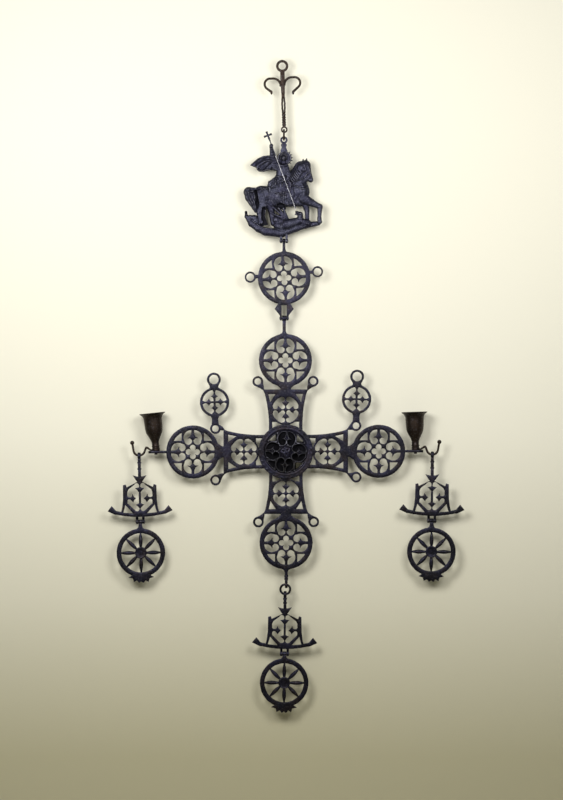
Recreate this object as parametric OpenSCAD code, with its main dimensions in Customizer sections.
// Hanging wall cross of pierced castings and forged iron, with a horseman plaque, two candle cups and
// three pendants with wheels. Millimetres. +Z is up, +Y points at the wall, and the origin is the
// centre of the hanging eye. Flat castings are drawn in X and Z and given their thickness along Y.

/* [Castings] */
// Thickness of the flat castings
plate_t = 4.6; // [3.6:0.2:6]
// Play left where one link hangs in another
play = 0.3; // [0.2:0.05:0.5]
// Radial play of a cross pin in its holes
pin_play = 0.08; // [0.05:0.01:0.15]

/* [Hanger] */
// Radius of the hole in the hanging eye
eye_bore_r = 5.4; // [4:0.2:7]
// Width of the metal around that hole
eye_wall = 3.8; // [3:0.2:5]
// Thickness of the forged eyes
eye_t = 3.6; // [3:0.2:4.4]
// Distance from the hanging eye to the lower eye
hanger_len = 95.4; // [85:1:120]
// Lean of the hanger to the right on its way down, in degrees
hanger_lean = 1.9; // [0:0.1:3]
// Radius of the bar of the ram's-horn hooks
horn_r = 1.75; // [1.4:0.05:2.2]
// Radius of the hole in the lower eye
small_eye_r = 2.7; // [2.4:0.1:3.2]
// Width of the metal around that hole
small_eye_wall = 2.4; // [1.8:0.1:3]

/* [Links] */
// Radius of the wire of the oval link
link_wire_r = 1.5; // [1.2:0.1:1.8]
// Inner radius of the oval link's ends
link_end_r = 3.2; // [2.8:0.1:4]
// Straight length of the oval link's sides
link_side = 5.6; // [4:0.2:10]
// Radius of the wire of the lower ring
ring_wire_r = 1.7; // [1.4:0.1:2]
// Outer radius of the lower ring
ring_r = 9.0; // [8:0.2:11]
// Radius of the cross pins
pin_r = 1.3; // [1:0.1:1.5]

/* [Horseman plaque] */
// Distance from the plaque's lug to its clevis pin
plaque_len = 151.3; // [130:1:180]
// Height of the relief in front of the plaque's middle
relief = 7.5; // [6:0.5:9]
// Thickness behind the plaque's middle
plaque_back = 2.6; // [2:0.2:4]
// Radius of the lance
lance_r = 0.8; // [0.6:0.1:1]

/* [Pierced discs] */
// Radius of the upper disc
upper_disc_r = 39.5; // [33:0.5:45]
// Radius of the cross's discs
disc_r = 39.8; // [35:0.5:44]
// Length of the upper disc's shank, from its pin to the rim
upper_shank = 16.3; // [12:0.5:24]
// Length of the upper disc's fork, from the rim to its pin
fork_len = 20.8; // [18:0.5:26]
// Turn of the upper disc's pattern, in degrees
upper_turn = 4.6; // [0:0.2:8]

/* [Cross] */
// Distance from the centre to the upper and lower discs
upright_reach = 136.8; // [125:1:160]
// Distance from the centre to the side discs
side_reach = 139.4; // [125:1:160]
// Length of the upper and lower shanks, from the rim to the eye
cross_shank = 23.4; // [18:0.5:30]
// Distance from the centre to the bars across the arms
bar_at = 89.8; // [86:0.2:94]
// Radius of the boss on the middle
boss_r = 41; // [38:0.5:44]
// Height of the boss
boss_rise = 12; // [8:0.5:16]
// Share of the boss that its openings reach over, against those of a disc
boss_open = 0.88; // [0.8:0.01:1]
// Distance from the rim of a side disc to the axis of its cup
cup_reach = 15.5; // [12:0.5:20]
// Radius of the small discs on the side arms
small_disc_r = 22; // [18:0.5:25]
// How far the upper shank stands left of the middle
shank_offset = 1.7; // [0:0.1:3]
// Sideways turn of the whole cross, in degrees
cross_lean = 0.2; // [0:0.1:1]

/* [Candle cups] */
// Radius of the candle's socket
socket_r = 11.1; // [9.5:0.1:12.5]
// Depth of the straight part of the socket
socket_depth = 22; // [16:1:30]
// Thickness of the cup's wall
cup_wall = 2.6; // [2.4:0.1:3.4]
// Radius of the cup's rim
cup_rim_r = 19.4; // [17:0.2:22]
// Radius of the rod of the J hooks
hook_rod_r = 1.65; // [1.3:0.05:2]
// Radius of the J hooks' bend, along the middle of the rod
hook_bend_r = 8.5; // [7:0.1:10]
// Lean of the left cup, outwards, in degrees
left_cup_lean = 5.7; // [-8:0.1:8]
// Lean of the right cup, outwards, in degrees
right_cup_lean = -1.7; // [-8:0.1:8]

/* [Pendants] */
// Length of the side pendants' shanks, from the eye to the crown
side_shank = 29.4; // [20:0.2:40]
// Length of the lower pendant's shank, from the eye to the crown
lower_shank = 19.6; // [16:0.2:40]
// Radius of the hole in the pendants' eyes
pendant_eye_r = 2.75; // [2.4:0.05:3.4]
// Height of the bell, from its crown to the underside of its foot
bell_h = 62.2; // [56:0.2:68]
// Distance from that underside to the wheel's pin
wheel_drop = 7.2; // [6.5:0.1:10]
// Radius of the wheels
wheel_r = 36.4; // [32:0.2:42]
// Width of a wheel's rim
wheel_rim = 7.1; // [5:0.1:9]
// Number of spokes in a wheel
spokes = 8; // [6:1:10]
// Length of the side wheels' shanks, from the pin to the rim
side_wheel_shank = 10.2; // [7:0.1:14]
// Length of the lower wheel's shank, from the pin to the rim
lower_wheel_shank = 7.2; // [7:0.1:14]

/* [Hidden] */
$fn = 48;
iron = [0.13, 0.12, 0.15];
brown_iron = [0.22, 0.18, 0.16];
bright_iron = [0.45, 0.44, 0.46];

// How much an arched inner side of radius r falls over half a wall's thickness t
function arch_drop(r, t) = r - sqrt(r * r - t * t / 4);
// The point at distance r and angle a
function polar(r, a) = [r * cos(a), r * sin(a)];
// A point list followed by its mirror image, in order round the shape
function mirrored(pts) = concat(pts, [for (i = [len(pts) - 1:-1:0]) [-pts[i][0], pts[i][1]]]);

// Heights down the middle of the chain
lower_eye_x = hanger_len * sin(hanger_lean);
lower_eye_z = -hanger_len * cos(hanger_lean);
link_drop = arch_drop(link_end_r, eye_t) + play;
link_top = lower_eye_z - small_eye_r + link_drop;
link_z = link_top - link_end_r - link_side / 2;
lug_r = 2.6;
lug_wall = 3.0;
lug_z = link_top - 2 * link_end_r - link_side + link_drop - lug_r;
plaque_x = lower_eye_x - 0.6;
plaque_pin_z = lug_z - plaque_len;
upper_disc_z = plaque_pin_z - upper_shank - upper_disc_r;
fork_z = upper_disc_z - upper_disc_r - fork_len;
chain_x = plaque_x + 0.4;

// The clevises: an eye of width eye_w between two ears, with a pin along X
plaque_eye_w = 4.2;
fork_eye_w = 7.0;
wheel_eye_w = 5.4;
ear_gap = 0.25;
ear_t = 3.6;
fork_ear_t = 2.8;
ear_r = 3.3;
pin_head = 0.6;

// The cross, placed by the pin of its upper eye
cross_eye_r = 4.2;
top_eye_z = upright_reach + disc_r + cross_shank;
bottom_eye_z = -top_eye_z;
bottom_eye_r = 2.6;
cross_x = chain_x + shank_offset * cos(cross_lean) + top_eye_z * sin(cross_lean);
cross_z = fork_z + shank_offset * sin(cross_lean) - top_eye_z * cos(cross_lean);
foot_eye_w = 4.4;
ring_offset = 1.4;

// The lower ring and the lower pendant
ring_mid_r = ring_r - ring_wire_r;
ring_hole_r = ring_r - 2 * ring_wire_r;
ring_x = cross_x + top_eye_z * sin(cross_lean) - ring_offset;
ring_z = cross_z + bottom_eye_z * cos(cross_lean) - bottom_eye_r
    + arch_drop(ring_hole_r, foot_eye_w + 2 * ring_offset) + play - ring_hole_r;
pendant_eye_w = 4.6;
pendant_eye_wall = 2.3;
lower_pendant_z = ring_z - ring_hole_r + arch_drop(ring_hole_r, pendant_eye_w) + play
    - pendant_eye_r;

// The cup's seat and the J hook, in the cross's own frame
cup_x = side_reach + disc_r + cup_reach;
lug_half = 1.9;
strap_t = 2.6;
cup_seat = lug_half + strap_t;
hook_bend = [cup_x + 25.2, 3.3];
hook_from = 203;
hook_to = 350;
hook_knee = hook_bend + polar(hook_bend_r, hook_from) - 7.6 * polar(1, hook_from + 90);
hook_end = hook_bend + polar(hook_bend_r, hook_to) + 12.2 * polar(1, hook_to + 90);
hook_ball_r = 3.2;
hook_top = hook_bend[1] - hook_bend_r + hook_rod_r;
side_pendant_z = hook_top + arch_drop(hook_bend_r - hook_rod_r, pendant_eye_w) + play
    - pendant_eye_r;
tenon_r = 2.4;
strap_r = 5.8;

// Shapes that every casting shares

// Gives a flat drawing in X and Z its thickness t along Y
module cast(t = plate_t) {
    rotate([90, 0, 0]) linear_extrude(t, center = true) children();
}

// A bar along X
module bar_x(r, l) {
    rotate([0, 90, 0]) cylinder(r = r, h = l, center = true);
}

// Points along an arc from angle a to angle b, in n steps
function arc_points(c, r, a, b, n) = [for (i = [0:n]) c + polar(r, a + (b - a) * i / n)];
// The direction of a path of points at point i
function heading(path, i) =
    let (run = path[min(i + 1, len(path) - 1)] - path[max(i - 1, 0)]) run / norm(run);

// A bent rod along a path in X and Z, with a radius for each of its points
module bent_rod(path, radii) {
    sides = 12;
    n = len(path);
    rings = [
        for (i = [0:n - 1], k = [0:sides - 1])
            let (h = heading(path, i), c = radii[i] * cos(k * 360 / sides))
            [path[i][0] - c * h[1], radii[i] * sin(k * 360 / sides), path[i][1] + c * h[0]]
    ];
    walls = [
        for (i = [0:n - 2], k = [0:sides - 1])
            let (a = i * sides + k, b = i * sides + (k + 1) % sides)
            each [[a, b, b + sides], [a, b + sides, a + sides]]
    ];
    ends = [[for (k = [sides - 1:-1:0]) k], [for (k = [0:sides - 1]) (n - 1) * sides + k]];
    polyhedron(rings, concat(walls, ends));
}

// A flat ring
module ring2d(outer, inner) {
    difference() {
        circle(outer);
        circle(inner);
    }
}

// Two ears of a clevis below a casting, reaching up to height h above the pin
module ears(w, t, h) {
    for (s = [-1, 1]) translate([s * (w / 2 + ear_gap + t / 2), 0, 0]) difference() {
        union() {
            bar_x(ear_r, t);
            translate([-t / 2, -plate_t / 2, 0]) cube([t, plate_t, h]);
        }
        bar_x(pin_r + pin_play, t + 1);
    }
}

// An eye of width w round a cross pin, with its shank going down (s = -1) or up (s = 1) by l
module pin_eye(w, r, shank_w, l, s) {
    difference() {
        union() {
            bar_x(r, w);
            translate([-shank_w / 2, -plate_t / 2, s < 0 ? -l : 0]) cube([shank_w, plate_t, l]);
        }
        bar_x(pin_r + pin_play, w + 1);
    }
}

// A cross pin with two small heads for ears of thickness t round an eye of width w
module cross_pin(w, t) {
    grip = w + 2 * (ear_gap + t) + 0.1;
    color(iron) union() {
        bar_x(pin_r, grip + pin_head);
        for (s = [-1, 1]) translate([s * (grip / 2 + pin_head / 2), 0, 0]) bar_x(pin_r + 0.7, pin_head);
    }
}

// Piercings of a disc, on a radius of one

stem_w = 0.056;
vein_w = 0.029;
cell_at = [-0.075, 0.545];
cell_r = 0.271;
lobe_at = [-0.172, 0.41];
lobe_r = 0.138;
corner_at = 0.422;
pierced_r = 0.833;

// The stem of a cell with its barb to the left
module stem_left() {
    polygon([
        [1, 0.9], [-stem_w, 0.9], [-stem_w, 0.7], [-0.1, 0.59], [-0.21, 0.5175],
        [-0.1, 0.51], [-vein_w, 0.44], [-vein_w, 0.2], [1, 0.2]
    ]);
}

// The comma-shaped hole left of a cell's stem
module comma() {
    difference() {
        union() {
            intersection() {
                translate(cell_at) circle(cell_r);
                translate([-1, lobe_at[1]]) square([1, 1]);
            }
            translate(lobe_at) circle(lobe_r);
        }
        stem_left();
    }
}

// The corner hole between two cells
module corner_hole() {
    intersection() {
        circle(pierced_r);
        translate([-1, corner_at]) square([1 - corner_at, 1]);
    }
}

// Every hole of a disc with its radius one, without the middle one
module disc_holes(middle = true) {
    for (a = [0:90:270]) rotate(a) {
        comma();
        mirror([1, 0]) comma();
        corner_hole();
    }
    if (middle) {
        circle(0.12);
        for (a = [0:90:270]) rotate(a) translate([0, 0.16]) circle(0.109);
    }
}

// A pierced disc of radius r
module pierced_disc(r) {
    difference() {
        circle(r);
        scale(r) disc_holes();
    }
}

// Forged hanger

strand_top = -44;
strand_r = 1.45;
strand_gap = 1.7;
collar_top = -71.5;
collar_r = 3.1;
collar_rings = 5;
collar_pitch = 3.7;
collar_bead_r = 1.5;

// A ram's-horn hook: a rising arc round root, a tighter bend that reaches out, and a turned-down tip
module horn(root, root_r, out, crown_r, end_angle, tip) {
    top = root[1] + root_r;
    bend = [out - crown_r, top - crown_r];
    ends = bend + polar(crown_r, end_angle);
    turned = ends + polar(tip, end_angle - 90);
    path = concat(
        arc_points(root, root_r, 176, 96, 7), arc_points(bend, crown_r, 84, end_angle, 8),
        [turned - [0, 0.4], turned - [0, 2], turned - [0, 4.6]]
    );
    last = len(path) - 1;
    bent_rod(path, [for (i = [0:last]) i > last - 2 ? horn_r * (last - i + 0.25) / 1.6 : horn_r]);
}

module top_hanger() {
    eye_r = eye_bore_r + eye_wall;
    color(brown_iron) rotate([0, -hanger_lean, 0]) difference() {
        union() {
            cast(eye_t) circle(eye_r);
            cast(eye_t) polygon(mirrored([[3.4, -7], [3.3, -24], [2.8, -40], [2.2, strand_top - 2]]));
            horn([14, -29.4], 12.2, 26.2, 8.4, -50, 10.6);
            mirror([1, 0, 0]) horn([14.8, -30.4], 12.2, 27.2, 8.4, -55, 7.6);
            for (s = [-1, 1]) translate([s * strand_gap, 0, collar_top - 2])
                cylinder(r = strand_r, h = strand_top - collar_top + 6);
            for (i = [0:collar_rings - 1])
                translate([0, 0, collar_top - (i + 0.5) * collar_pitch]) rotate_extrude()
                    translate([collar_r - collar_bead_r, 0]) circle(collar_bead_r);
            translate([0, 0, collar_top - collar_rings * collar_pitch])
                cylinder(r = collar_r - 0.5, h = collar_rings * collar_pitch);
            translate([0, 0, -hanger_len]) cast(eye_t) circle(small_eye_r + small_eye_wall);
            translate([0, 0, -hanger_len]) cylinder(r = 2.4, h = hanger_len + collar_top);
        }
        cast(eye_t + 1) circle(eye_bore_r);
        translate([0, 0, -hanger_len]) cast(4 * eye_t) circle(small_eye_r);
        translate([0.4, 0, -41]) cast(eye_t + 1) circle(0.8);
    }
}

module top_link() {
    mid_r = link_end_r + link_wire_r;
    color(brown_iron) translate([plaque_x, 0, link_z]) rotate([0, -90, 0]) rotate([0, 0, 90]) {
        for (s = [0, 1]) mirror([0, s, 0]) translate([0, link_side / 2, 0])
            rotate_extrude(angle = 180) translate([mid_r, 0]) circle(link_wire_r);
        for (s = [-1, 1]) translate([s * mid_r, 0, 0]) rotate([90, 0, 0])
            cylinder(r = link_wire_r, h = link_side, center = true);
    }
}

// Horseman plaque, drawn round its lug: X to the right, Z up

relief_squash = 0.55;
limb_sides = 10;
web_t = 3.4;
// The lance's two ends
lance_top = [-22.8, 3];
lance_foot = [17.6, -103.6];
lance_y = -relief + 1.2;
// Its finial stands this far above its upper end, and the collar reaches this far below it
finial_up = 3.4;
collar_below = 6;

// A tapering limb from a to b, with end radii ra and rb, standing d in front of the middle
module limb(a, ra, b, rb, d = 0) {
    hull() {
        translate([a[0], -d, a[1]]) sphere(ra, $fn = limb_sides);
        translate([b[0], -d, b[1]]) sphere(rb, $fn = limb_sides);
    }
}

module horse() {
    limb([-34, -80], 11.5, [-8, -83], 13);
    limb([-8, -83], 13, [24, -78], 14.5);
    limb([-16, -91], 9, [24, -90], 10);
    limb([22, -74], 14.6, [19, -58], 13.6);
    limb([19, -58], 13.6, [26, -42], 10.6);
    limb([28, -42], 8.8, [33, -37.6], 6.6, 2);
    limb([33, -38], 7, [40.2, -59.8], 4, 2);
    limb([30, -46], 8, [33, -58], 5.4, 2);
    limb([32.8, -33], 2.4, [34.2, -28.2], 0.9, 2);
    limb([28.8, -34], 2.4, [28.8, -29], 0.9, 2);
    limb([30, -88], 8.4, [41, -94], 5.6, 3);
    limb([41, -94], 5.6, [54, -100], 3.9, 3);
    limb([54, -100], 3.9, [53.2, -117], 2.9, 3);
    limb([53.2, -118.6], 3.1, [53.6, -122.4], 3.9, 3);
    limb([31, -92], 6.4, [34.6, -106], 3.6);
    limb([34.6, -106], 3.6, [35.2, -122], 3);
    limb([-36, -84], 11, [-31, -98], 6.5, 2);
    limb([-31, -98], 6.5, [-37, -107], 4.6, 2);
    limb([-37, -107], 4.4, [-35.6, -122], 3.4, 2);
    limb([-22, -94], 8, [-19.4, -105], 4.8);
    limb([-19.4, -105], 4.8, [-15.6, -125], 4.4);
    limb([-40, -76.5], 5, [-52.8, -78], 7.4, 1);
    limb([-52.8, -78], 7.4, [-51.2, -86], 7, 1);
    limb([-51.2, -86], 7, [-47.4, -94], 5.4, 1);
    limb([-47.4, -94], 5.4, [-44.4, -101], 3.6, 1);
    limb([-44.4, -101], 3.6, [-42.4, -107], 2.2, 1);
}

module rider() {
    limb([-3, -44], 8.5, [-4, -56], 8.4, 3);
    limb([-3, -60], 9, [-16, -69], 9, 3);
    limb([-12, -36], 6, [-4, -38], 6, 2);
    limb([-6, -58], 8, [8, -66], 6, 2);
    limb([-6, -68], 7, [-1, -82], 4.6, 5);
    limb([-1, -82], 4.6, [1, -93], 3.4, 5);
    limb([1, -93], 3.2, [5.6, -96], 2.4, 5);
    limb([-12.5, -41], 5.4, [-17.4, -25], 4, 3);
    limb([-17.4, -25], 4, [-18.9, -12], 2.7, 4);
    limb([-18.9, -10.6], 3.3, [-18.6, -8], 2.8, 4);
    limb([3, -44], 5.4, [8, -56], 4, 4);
    limb([8, -56], 3.8, [14, -61], 3, 4);
    limb([0, -37], 4, [-0.4, -28.4], 6, 3);
    limb([-0.4, -28.4], 6, [-0.4, -26], 5.9, 3);
}

// The halo behind the head, with rays round its right side
module halo() {
    translate([0.8, 0, -27.2]) cast(3) {
        circle(10.6);
        for (a = [-40:22:70]) rotate(a) polygon([[9, -1.6], [13, 0], [9, 1.6]]);
    }
}

module cape() {
    cast(4.4) polygon([
        [-51, -38], [-46, -33.2], [-39, -27.4], [-31, -23.8], [-22, -22.8], [-8, -32],
        [-8, -46], [-16, -45], [-24, -46], [-30.6, -48], [-37.2, -47.5], [-40.4, -45], [-41.6, -41.8],
        [-45, -40.4]
    ]);
    limb([-47, -37], 1.6, [-22, -27], 4.2, 1);
    limb([-42, -40], 2, [-20, -34], 4, 1);
    limb([-33, -45], 2.4, [-14, -40], 4.4, 1);
}

// The root of the wing's ribs, and their tips
wing_root = [6, -121];
wing_tips = [[-20, -109], [-16, -101], [-8.6, -101], [-1, -102]];

module dragon() {
    limb([-56.8, -108.2], 2, [-56.4, -115], 2.4);
    limb([-56.4, -115], 2.4, [-48.6, -125.4], 4.8);
    limb([-48.6, -125.4], 4.8, [-38, -132.6], 5.6);
    limb([-38, -132.6], 5.6, [-28, -137.2], 6);
    limb([-28, -137.2], 6, [-4, -139.4], 6.8);
    limb([-4, -139.4], 6.8, [18, -131.6], 5.8);
    limb([18, -131.6], 5.8, [32, -128], 4.6);
    limb([32, -128], 4.6, [52, -124.8], 3.4);
    limb([-52, -115.4], 3, [-44, -117], 4.4);
    limb([-44, -117], 4.4, [-40, -127], 5);
    limb([-12, -119.6], 5.4, [4, -125], 5, 2);
    limb([-10, -128], 6, [-2, -130], 7, 2);
    for (tip = wing_tips) limb(tip, 1.5, wing_root, 2.6, 2);
    limb([4, -127], 8.4, [24, -121], 5.4, 2);
    limb([24, -121], 5, [24.4, -112], 4, 2);
    limb([24.4, -111.4], 3.8, [18.6, -107.8], 1.8, 2);
    limb([26, -122], 5, [36, -125], 5.6, 1);
}

// A thin sheet behind the relief, where it is closed but deep
module web(outline) {
    cast(web_t) polygon(outline);
}

module horseman_plaque() {
    color(iron) translate([plaque_x, 0, lug_z]) difference() {
        union() {
            intersection() {
                union() {
                    scale([1, relief_squash, 1]) {
                        horse();
                        rider();
                        dragon();
                        cape();
                    }
                    halo();
                    web([[-19, -92], [4, -92], [3, -104.6], [-19, -103.6]]);
                    web([[-40, -76], [-30, -92], [-33, -106], [-44, -104], [-50, -90]]);
                    web([[-36, -98], [-26.4, -100], [-28.4, -114], [-24, -127], [-34, -130]]);
                }
                translate([-100, -relief, -200]) cube([200, relief + plaque_back, 220]);
            }
            cast(eye_t) circle(lug_r + lug_wall);
            cast(eye_t) polygon(mirrored([[2.6, -4.2], [4.6, -7.4], [3.4, -11], [4.8, -15], [5, -22]]));
            translate([0, 0, -plaque_len]) ears(plaque_eye_w, ear_t, 12);
        }
        cast(eye_t + 1) circle(lug_r);
        // room for the lance in the hand, over the body and in the mouth
        lance_rod(lance_r + 0.12, 1);
    }
}

// The lance's rod, made longer at its foot by more
module lance_rod(r, more) {
    run = lance_foot - lance_top;
    translate([lance_top[0], lance_y, lance_top[1]]) rotate([0, 90 - atan2(run[1], run[0]), 0])
        cylinder(r = r, h = norm(run) + more);
}

module lance() {
    run = lance_foot - lance_top;
    color(bright_iron) translate([plaque_x, 0, lug_z]) {
        lance_rod(lance_r, 0);
        translate([lance_top[0], lance_y, lance_top[1]]) rotate([0, -90 - atan2(run[1], run[0]), 0]) {
            translate([0, 0, -collar_below]) cylinder(r = 1.2, h = collar_below + finial_up);
            for (a = [0:90:270]) translate([0, 0, finial_up]) rotate([0, a, 0])
                cylinder(r1 = 1, r2 = 1.6, h = 5.6);
        }
    }
}

module plaque_pin() {
    translate([plaque_x, 0, plaque_pin_z]) cross_pin(plaque_eye_w, ear_t);
}

// Upper disc

side_ring_at = [50.6, 5.5];
side_ring_r = 8.4;
side_ring_hole = 5.7;

// The fork below the disc: two prongs with a slot between them
module fork() {
    half = fork_eye_w / 2 + ear_gap;
    outer = half + fork_ear_t;
    cast() difference() {
        polygon(mirrored([
            [9.5, fork_len + 3], [9.8, fork_len], [14.5, 14.2], [outer + 0.6, 5], [outer, 2.8], [outer, -1]
        ]));
        translate([-half, -ear_r - 1]) square([2 * half, fork_len + ear_r]);
    }
}

module upper_disc() {
    color(iron) {
        translate([chain_x, 0, upper_disc_z]) rotate([0, -upper_turn, 0]) cast() {
            pierced_disc(upper_disc_r);
            for (s = [-1, 1]) {
                translate([s * side_ring_at[0], side_ring_at[1]]) ring2d(side_ring_r, side_ring_hole);
                translate([s * (upper_disc_r + 1.2), side_ring_at[1]]) square([4.6, 5], center = true);
            }
        }
        translate([plaque_x, 0, plaque_pin_z])
            pin_eye(plaque_eye_w, ear_r, plaque_eye_w, upper_shank + 3, -1);
        translate([chain_x, 0, upper_disc_z + upper_disc_r - 3])
            cast() polygon(mirrored([[2.1, 6.5], [2.8, 3.8], [6.5, 2]]));
        translate([chain_x, 0, fork_z]) difference() {
            union() {
                fork();
                for (s = [-1, 1]) translate([s * (fork_eye_w / 2 + ear_gap + fork_ear_t / 2), 0, 0])
                    bar_x(ear_r, fork_ear_t);
            }
            bar_x(pin_r + pin_play, 40);
        }
    }
}

module fork_pin() {
    translate([chain_x, 0, fork_z]) cross_pin(fork_eye_w, fork_ear_t);
}

// Main cross, drawn round its centre

frame_w = 5.2;
bar_w = 7.2;
waist = 25.2;
waist_at = 39;
flare_r = 190;
oval_at = 62.8;
oval_r = 20.2;
oval_bar = 2.8;
joint_fillet = 0.6;
arm_bar = 0.9;
ringlet_along = 105.4;
upright_ringlet = 41.5;
side_ringlet = 38.6;
left_drop = 3.6;
ringlet_r = 8.1;
ringlet_hole = 4.9;
open_corners = [0, 180, 270];

// One quarter of an arm's oval: a band and a lobe towards the middle, with a barb on each side of it
module scroll() {
    band_w = 7.4;
    lobe = 3.5;
    difference() {
        union() {
            difference() {
                circle(oval_r);
                circle(oval_r - band_w);
                polygon([[0, 0], polar(40, 106), [60, 60], [60, -60], [-60, -60], polar(40, 164)]);
            }
            for (a = [106, 164]) translate(polar(oval_r - lobe - 0.7, a)) circle(lobe);
            rotate(45) translate([0, 6.3]) circle(lobe);
            rotate(45) polygon([[-3.3, 6], [3.3, 6], [4.4, oval_r - 5], [-4.4, oval_r - 5]]);
        }
        translate([-arm_bar, -1]) square([10, 30]);
        translate([-30, -10]) square([40, 10 + arm_bar]);
    }
}

// The corner holes of an arm, on both sides of its oval
module arm_corners(top) {
    difference() {
        for (s = [0, 1]) mirror([s, 0]) {
            polygon([[15.2, top], [50, top], [50, top - 16.4], [26.2, top - 16.4]]);
            translate([0, 30]) square([50, 14.6]);
        }
        for (s = [-1, 1]) translate([s * (waist + flare_r), waist_at])
            circle(flare_r + frame_w, $fn = 180);
        circle(disc_r + joint_fillet);
        translate([0, oval_at]) circle(oval_r + oval_bar);
    }
}

// How far an arm's ringlet lies from its middle, on side s; the left arm's two sit lower
function ringlet_across(i, s) =
    s * (i % 2 == 0 ? upright_ringlet : side_ringlet) - (i == 1 ? left_drop : 0);

// Arm i, pointing up, from under the boss to its neck; reach is the distance to its disc
module arm(i, reach) {
    top = bar_at - bar_w / 2;
    end = bar_at + bar_w / 2;
    difference() {
        translate([-50, 28]) square([100, end - 28]);
        for (s = [-1, 1]) translate([s * (waist + flare_r), waist_at]) circle(flare_r, $fn = 180);
        arm_corners(top);
        translate([0, oval_at]) for (m = [0, 1], n = [0, 1]) mirror([m, 0]) mirror([0, n]) scroll();
    }
    polygon(mirrored([[8.6, top], [8.2, end + 2], [13, reach - disc_r * 0.94]]));
    for (s = [-1, 1]) {
        x = ringlet_across(i, s);
        polygon([
            [s * 27, top], [s * 30.8, top], [s * 33.2, end - 2], [s * 38, end + 1.6],
            [x + s * 5.4, ringlet_along - 6.2], [x, ringlet_along], [x - s * 7.6, ringlet_along],
            [s * 32.4, end + 4], [s * 32, end]
        ]);
        translate([x, ringlet_along]) circle(ringlet_r);
    }
}

small_disc_up = 39.6;
small_ring_up = 73.6;
small_ring_r = 10.4;
small_ring_hole = 7;
small_rim = 3.8;
finial_lean = 1.6;

// A small pierced disc with a ring on it, standing on the ringlet at the origin
module finial() {
    rotate(-finial_lean) {
        difference() {
            union() {
                polygon(mirrored([[5.6, 5], [5, 10], [4.8, 15], [8, small_disc_up - 18]]));
                translate([0, small_disc_up]) circle(small_disc_r);
                translate([0, small_ring_up]) circle(small_ring_r);
                translate([0, small_disc_up + small_disc_r]) polygon(mirrored([
                    [11, -4], [6.6, -0.4], [6.4, 2], [8.6, 6]
                ]));
            }
            translate([0, small_disc_up]) difference() {
                circle(small_disc_r - small_rim);
                for (a = [0:90:270]) rotate(a) small_cross_arm();
                translate([0, -small_disc_r]) polygon(mirrored([[7, 2], [4, 5.4], [1, 8]]));
            }
            translate([0, small_ring_up]) circle(small_ring_hole);
        }
    }
}

// One arm of the little cross in a small disc, with its arrow barbs
module small_cross_arm() {
    r = small_disc_r - small_rim;
    polygon(mirrored([
        [1.7, -1], [1.6, 5.2], [3, 7.2], [5.6, 8.6], [3.2, 10.2], [1.4, 12.2], [1.2, r - 3.4],
        [3.4, r + 1]
    ]));
}

// The crossing behind the boss, closed but for three corners
module crossing() {
    difference() {
        circle(disc_r);
        for (a = open_corners) rotate(a) scale(boss_r * boss_open) corner_hole();
    }
}

module cross_outline() {
    reaches = [upright_reach, side_reach, upright_reach, side_reach];
    difference() {
        union() {
            crossing();
            for (i = [0:3]) rotate(90 * i) {
                arm(i, reaches[i]);
                translate([0, reaches[i]]) pierced_disc(disc_r);
            }
            translate([ringlet_along, side_ringlet]) finial();
            translate([-ringlet_along, side_ringlet - left_drop]) mirror([1, 0]) finial();
        }
        for (i = [0:3], s = [-1, 1]) rotate(90 * i)
            translate([ringlet_across(i, s), ringlet_along]) circle(ringlet_hole);
    }
}

// The flat lug under a cup, on the right
module cup_lug() {
    start = side_reach + disc_r - 4;
    lug_w = 12;
    translate([0, 0, -lug_half]) linear_extrude(2 * lug_half) difference() {
        union() {
            polygon([
                [start, -plate_t / 2], [start + 6, -plate_t / 2], [start + 12, -lug_w / 2],
                [cup_x + 5.5, -lug_w / 2], [cup_x + 5.5, lug_w / 2], [start + 12, lug_w / 2],
                [start + 6, plate_t / 2], [start, plate_t / 2]
            ]);
            translate([cup_x + 5.5, 0]) circle(lug_w / 2);
        }
        translate([cup_x, 0]) circle(tenon_r + 0.1);
    }
}

// An eye along X at the foot of the lower shank, with two ridges above it
module foot_eye() {
    difference() {
        union() {
            bar_x(bottom_eye_r + 2.2, foot_eye_w);
            translate([-foot_eye_w / 2, -plate_t / 2, 0]) cube([foot_eye_w, plate_t, cross_shank + 3]);
            for (z = [8, 12.5]) translate([0, 0, z]) cylinder(r = 3.1, h = 2.2);
        }
        bar_x(bottom_eye_r, foot_eye_w + 1);
    }
}

// Puts a piece of the cross in its place
module at_cross() {
    translate([cross_x, 0, cross_z]) rotate([0, -cross_lean, 0]) children();
}

module main_cross() {
    color(iron) at_cross() {
        cast() cross_outline();
        for (s = [0, 1]) mirror([s, 0, 0]) cup_lug();
        translate([-shank_offset, 0, top_eye_z])
            pin_eye(fork_eye_w, cross_eye_r, 5.2, cross_shank + 3, -1);
        translate([0, 0, bottom_eye_z]) foot_eye();
        for (s = [-1, 1]) translate([s > 0 ? -shank_offset : 0, 0, s * (upright_reach + disc_r - 3)])
            cast() polygon(mirrored([[2.6, s * 7], [3.6, s * 4], [7.5, s * 2]]));
    }
}

// Centre boss: a pierced dome on a flat rim, seated on the front of the cross

boss_rim = 7;
boss_t = 2.6;
boss_turn = -4;

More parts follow.
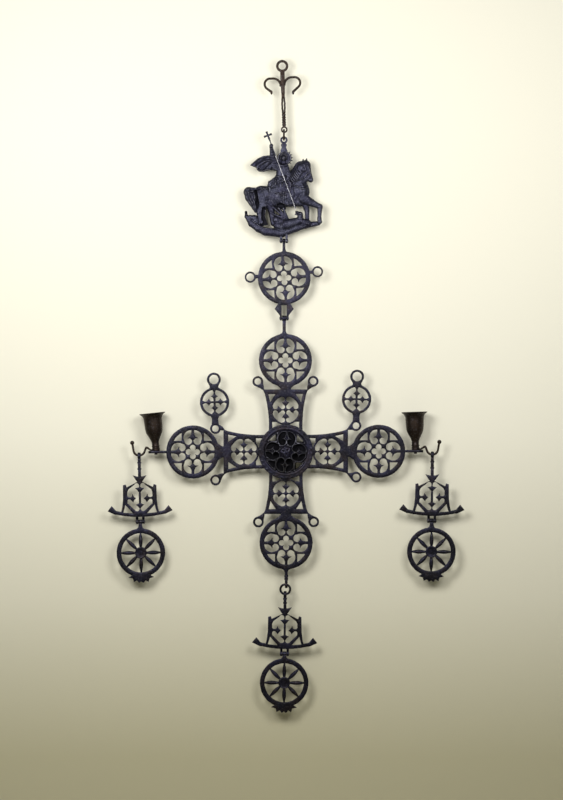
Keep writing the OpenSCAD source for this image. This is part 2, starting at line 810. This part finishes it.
module centre_boss() {
    foot_r = boss_r - boss_rim;
    dome_r = (foot_r * foot_r + boss_rise * boss_rise) / (2 * boss_rise);
    color(iron) at_cross() translate([0, -plate_t / 2, 0]) rotate([90, 0, 0]) rotate(boss_turn) {
        intersection() {
            union() {
                difference() {
                    translate([0, 0, boss_rise - dome_r]) sphere(dome_r, $fn = 96);
                    translate([0, 0, boss_rise - dome_r]) sphere(dome_r - boss_t, $fn = 96);
                }
                difference() {
                    cylinder(r = boss_r, h = boss_t);
                    translate([0, 0, boss_rise - dome_r]) sphere(dome_r - 0.1, $fn = 96);
                }
            }
            linear_extrude(boss_rise + 1) difference() {
                circle(boss_r + 1);
                scale(boss_r * boss_open) disc_holes(false);
            }
        }
        translate([0, 0, boss_rise - boss_t]) cylinder(r = 4.6, h = boss_t + 1.6);
    }
}

// Candle cups and their hooks, on the right of the cross

module candle_hook() {
    tongue_r = strap_t / 2 - 0.05;
    tongue = [for (x = [strap_r - 1.4, stem_r + 2.2]) [cup_x + x, lug_half + strap_t / 2]];
    knee = [hook_knee - polar(1.4, 26), hook_knee + [0.5, -0.5], hook_knee + [1, -2]];
    path = concat(tongue, knee, arc_points(hook_bend, hook_bend_r, hook_from, hook_to, 12), [hook_end]);
    last = len(path) - 1;
    color(brown_iron) difference() {
        union() {
            translate([cup_x, 0, lug_half]) cylinder(r = strap_r, h = strap_t);
            bent_rod(path, [for (i = [0:last]) i < 2 ? tongue_r : hook_rod_r]);
            translate([hook_end[0], 0, hook_end[1]]) sphere(hook_ball_r);
        }
        translate([cup_x, 0, 0]) cylinder(r = tenon_r + 0.1, h = 20);
    }
}

cup_h = 54.5;
stem_r = 5.4;
stem_h = 11;
cup_floor = 27;
socket_pit = 8;

// The cup, standing on its foot at the origin
module cup() {
    body_r = socket_r + cup_wall;
    flare_at = cup_floor + socket_depth;
    difference() {
        union() {
            cylinder(r = stem_r, h = stem_h + 4);
            translate([0, 0, 3.2]) cylinder(r = stem_r + 0.7, h = 2);
            translate([0, 0, stem_h - 0.5]) cylinder(r1 = stem_r, r2 = stem_r + 2.4, h = 5.5);
            translate([0, 0, stem_h + 5]) cylinder(r1 = stem_r + 2.4, r2 = body_r - 1.6, h = 8.6);
            translate([0, 0, stem_h + 13.6]) cylinder(r1 = body_r - 1.6, r2 = body_r, h = 16);
            translate([0, 0, stem_h + 29.6]) cylinder(r = body_r, h = flare_at - stem_h - 31.6);
            translate([0, 0, flare_at - 2]) cylinder(r1 = body_r, r2 = body_r + 1.6, h = 3);
            translate([0, 0, flare_at + 1])
                cylinder(r1 = body_r + 1.6, r2 = cup_rim_r, h = cup_h - flare_at - 2.2);
            translate([0, 0, cup_h - 1.2]) cylinder(r = cup_rim_r, h = 1.2);
        }
        translate([0, 0, cup_floor]) cylinder(r = socket_r, h = cup_h);
        translate([0, 0, cup_floor - socket_pit])
            cylinder(r1 = 0.45 * socket_r, r2 = socket_r, h = socket_pit + 0.01);
        translate([0, 0, flare_at])
            cylinder(r1 = socket_r, r2 = cup_rim_r - 1.4, h = cup_h - flare_at + 0.01);
    }
}

// A cup with its tenon through the strap and the lug, leaning outwards by lean
module candle_cup(lean) {
    color(brown_iron) translate([cup_x, 0, cup_seat]) {
        translate([0, 0, -cup_seat - lug_half]) cylinder(r = tenon_r, h = cup_seat + lug_half + 1);
        cylinder(r = stem_r + 0.6, h = 1.4);
        intersection() {
            rotate([0, lean, 0]) cup();
            translate([-40, -40, 0]) cube(80);
        }
    }
}

module lower_ring() {
    color(iron) translate([ring_x, 0, ring_z]) rotate([90, 0, 0]) rotate_extrude()
        translate([ring_mid_r, 0]) circle(ring_wire_r);
}

// Pendants: a bell-shaped frame drawn round the middle of its crown's upper edge

post_in = 19.8;
post_w = 5.2;
foot_sag = 4.4;
foot_half = 37;
foot_w = 5.4;

// The posts, the arch, the crown and the plate that the openings are cut from
module bell_body() {
    polygon(mirrored([
        [0, -1.6], [3.6, -1.4], [10.4, 0.4], [5, -7.9], [3.4, -9.6],
        [post_in, -17.4], [post_in + 1.2, -13.2], [post_in + post_w, -14.4],
        [post_in + post_w + 0.4, -36], [post_in + post_w + 1.6, -46], [post_in + post_w + 4.4, 4 - bell_h]
    ]));
}

// The boat-shaped foot with its splayed ends
module bell_foot() {
    bow_r = (foot_half * foot_half + foot_sag * foot_sag) / (2 * foot_sag);
    translate([0, -bell_h]) {
        intersection() {
            difference() {
                translate([0, bow_r]) circle(bow_r, $fn = 180);
                translate([0, bow_r + foot_w]) circle(bow_r, $fn = 180);
            }
            translate([-foot_half, -1]) square([2 * foot_half, 14]);
        }
        for (s = [0, 1]) mirror([s, 0]) polygon([
            [foot_half - 3, 3.7], [foot_half + 1.4, 4.3], [48.9, 9.2], [42.6, 17.2],
            [foot_half - 0.4, 10], [foot_half - 3, 9.1]
        ]);
    }
}

// The openings left of the bell's middle bar
module bell_openings() {
    mid = -34.4;
    difference() {
        union() {
            polygon([
                [-5.6, -11.8], [-16.4, -20.2], [-18.8, -24.4], [-18.8, -30],
                [-12, -33], [-0.8, -30], [-0.8, -16]
            ]);
            translate([-4.6, -15]) circle(3.6);
            translate([-15.8, -29.4]) circle(3.1);
            translate([-11, mid - 7]) square([10.2, 14]);
            polygon([[-18.8, -38], [-18.6, -41.6], [-7.4, -52.4], [-0.8, -48], [-0.8, -38], [-12, -36]]);
            translate([-15.6, -38.2]) circle(3.1);
            translate([-4.6, -49.6]) circle(3.9);
        }
        // the middle bar with its barbs
        translate([-0.9, -60]) square([2, 50]);
        polygon([[0, -25], [-1.7, -26], [-1.7, -41], [0, -42]]);
        polygon([[0, -16.4], [-2, -18.2], [-7, -19], [-4.6, -21.2], [-1.9, -24.4], [0, -27]]);
        polygon([[0, -39], [-1.9, -41.8], [-6.6, -44], [-4, -45.4], [-1.4, -48.4], [0, -50]]);
        // the side barb
        polygon([
            [-21, mid - 1.1], [-21, mid + 1.1], [-14.6, mid + 1.1], [-12.2, mid + 3.4], [-11.4, mid + 6.8],
            [-9, mid + 3], [-5.6, mid], [-8.6, mid - 2.8], [-10.4, mid - 6], [-12.6, mid - 3.2],
            [-14.6, mid - 1.1]
        ]);
    }
    polygon([[-22, -43.8], [-23.2, -49], [-25.2, 6.8 - bell_h], [-10.4, 5.4 - bell_h]]);
}

// A pendant hanging from its eye at the origin
module pendant(shank) {
    crown = -shank;
    pin = crown - bell_h - wheel_drop;
    eye_r = pendant_eye_r + pendant_eye_wall;
    difference() {
        union() {
            bar_x(eye_r, pendant_eye_w);
            translate([-2.3, -plate_t / 2, crown - 4]) cube([4.6, plate_t, shank + 4]);
            for (z = [0.62, 0.3]) translate([-2.7, -plate_t / 2 - 0.3, crown * (1 - z)])
                cube([5.4, plate_t + 0.6, 2]);
            translate([0, 0, crown]) cast() difference() {
                union() {
                    bell_body();
                    bell_foot();
                }
                bell_openings();
                mirror([1, 0]) bell_openings();
            }
            translate([0, 0, pin]) ears(wheel_eye_w, ear_t, wheel_drop + 2);
        }
        bar_x(pendant_eye_r, 20);
    }
}

// Wheels: round the pin that each one hangs from

hub_r = 8.8;
spoke_w = 5.6;
spoke_end_w = 2.2;

// Half of the leafy crest, from the rim to the middle
crest = [
    [16.6, -31.5], [14.4, -33.8], [19, -36.8], [12.6, -38.4],
    [11, -43.9], [6.4, -41.4], [3.4, -45.2], [0, -43]
];

module wheel(shank) {
    centre = -shank - wheel_r;
    neck = min(5, shank - ear_r - 0.5);
    crest_scale = wheel_r / 36.4;
    pin_eye(wheel_eye_w, ear_r, wheel_eye_w, shank + 3, -1);
    translate([0, 0, centre]) {
        cast() {
            ring2d(wheel_r, wheel_r - wheel_rim);
            for (i = [0:spokes - 1]) rotate(i * 360 / spokes) polygon([
                [6, 1.6], [0.47 * wheel_r, spoke_w / 2], [wheel_r - wheel_rim + 1, spoke_end_w / 2],
                [wheel_r - wheel_rim + 1, -spoke_end_w / 2], [0.47 * wheel_r, -spoke_w / 2], [6, -1.6]
            ]);
            difference() {
                scale(crest_scale) polygon(mirrored(concat([[0, -30]], crest)));
                circle(wheel_r - wheel_rim + 1);
            }
            polygon(mirrored([[wheel_eye_w / 2, wheel_r + neck], [3.6, wheel_r + 1.4], [8, wheel_r - 2]]));
        }
        rotate([90, 0, 0]) cylinder(r = hub_r, h = plate_t + 1.4, center = true);
    }
}

// Places of the three pendants: the eye, the shank and the lean

left_lean = -1.0;
right_lean = 0.6;
lower_lean = 0.6;
pendant_x = hook_bend[0];

module hang(x, z, lean) {
    translate([x, 0, z]) rotate([0, lean, 0]) children();
}

module hang_left() {
    at_cross() hang(-pendant_x, side_pendant_z, left_lean + cross_lean) children();
}

module hang_right() {
    at_cross() hang(pendant_x, side_pendant_z, right_lean + cross_lean) children();
}

module hang_lower() {
    hang(ring_x - 0.3, lower_pendant_z, lower_lean) children();
}

module pendant_left() {
    color(iron) hang_left() pendant(side_shank);
}

module pendant_right() {
    color(iron) hang_right() pendant(side_shank);
}

module pendant_lower() {
    color(iron) hang_lower() pendant(lower_shank);
}

// From a pendant's eye down to its wheel's pin
module at_wheel(shank) {
    translate([0, 0, -shank - bell_h - wheel_drop]) children();
}

module wheel_pin_left() {
    hang_left() at_wheel(side_shank) cross_pin(wheel_eye_w, ear_t);
}

module wheel_pin_right() {
    hang_right() at_wheel(side_shank) cross_pin(wheel_eye_w, ear_t);
}

module wheel_pin_lower() {
    hang_lower() at_wheel(lower_shank) cross_pin(wheel_eye_w, ear_t);
}

module wheel_left() {
    color(iron) hang_left() at_wheel(side_shank) wheel(side_wheel_shank);
}

module wheel_right() {
    color(iron) hang_right() at_wheel(side_shank) wheel(side_wheel_shank);
}

module wheel_lower() {
    color(iron) hang_lower() at_wheel(lower_shank) wheel(lower_wheel_shank);
}

top_hanger();
top_link();
horseman_plaque();
lance();
plaque_pin();
upper_disc();
fork_pin();
main_cross();
centre_boss();
at_cross() mirror([1, 0, 0]) candle_hook();  // candle_hook_left
at_cross() candle_hook();  // candle_hook_right
at_cross() mirror([1, 0, 0]) candle_cup(left_cup_lean);  // candle_cup_left
at_cross() candle_cup(right_cup_lean);  // candle_cup_right
lower_ring();
pendant_left();
pendant_right();
pendant_lower();
wheel_pin_left();
wheel_pin_right();
wheel_pin_lower();
wheel_left();
wheel_right();
wheel_lower();
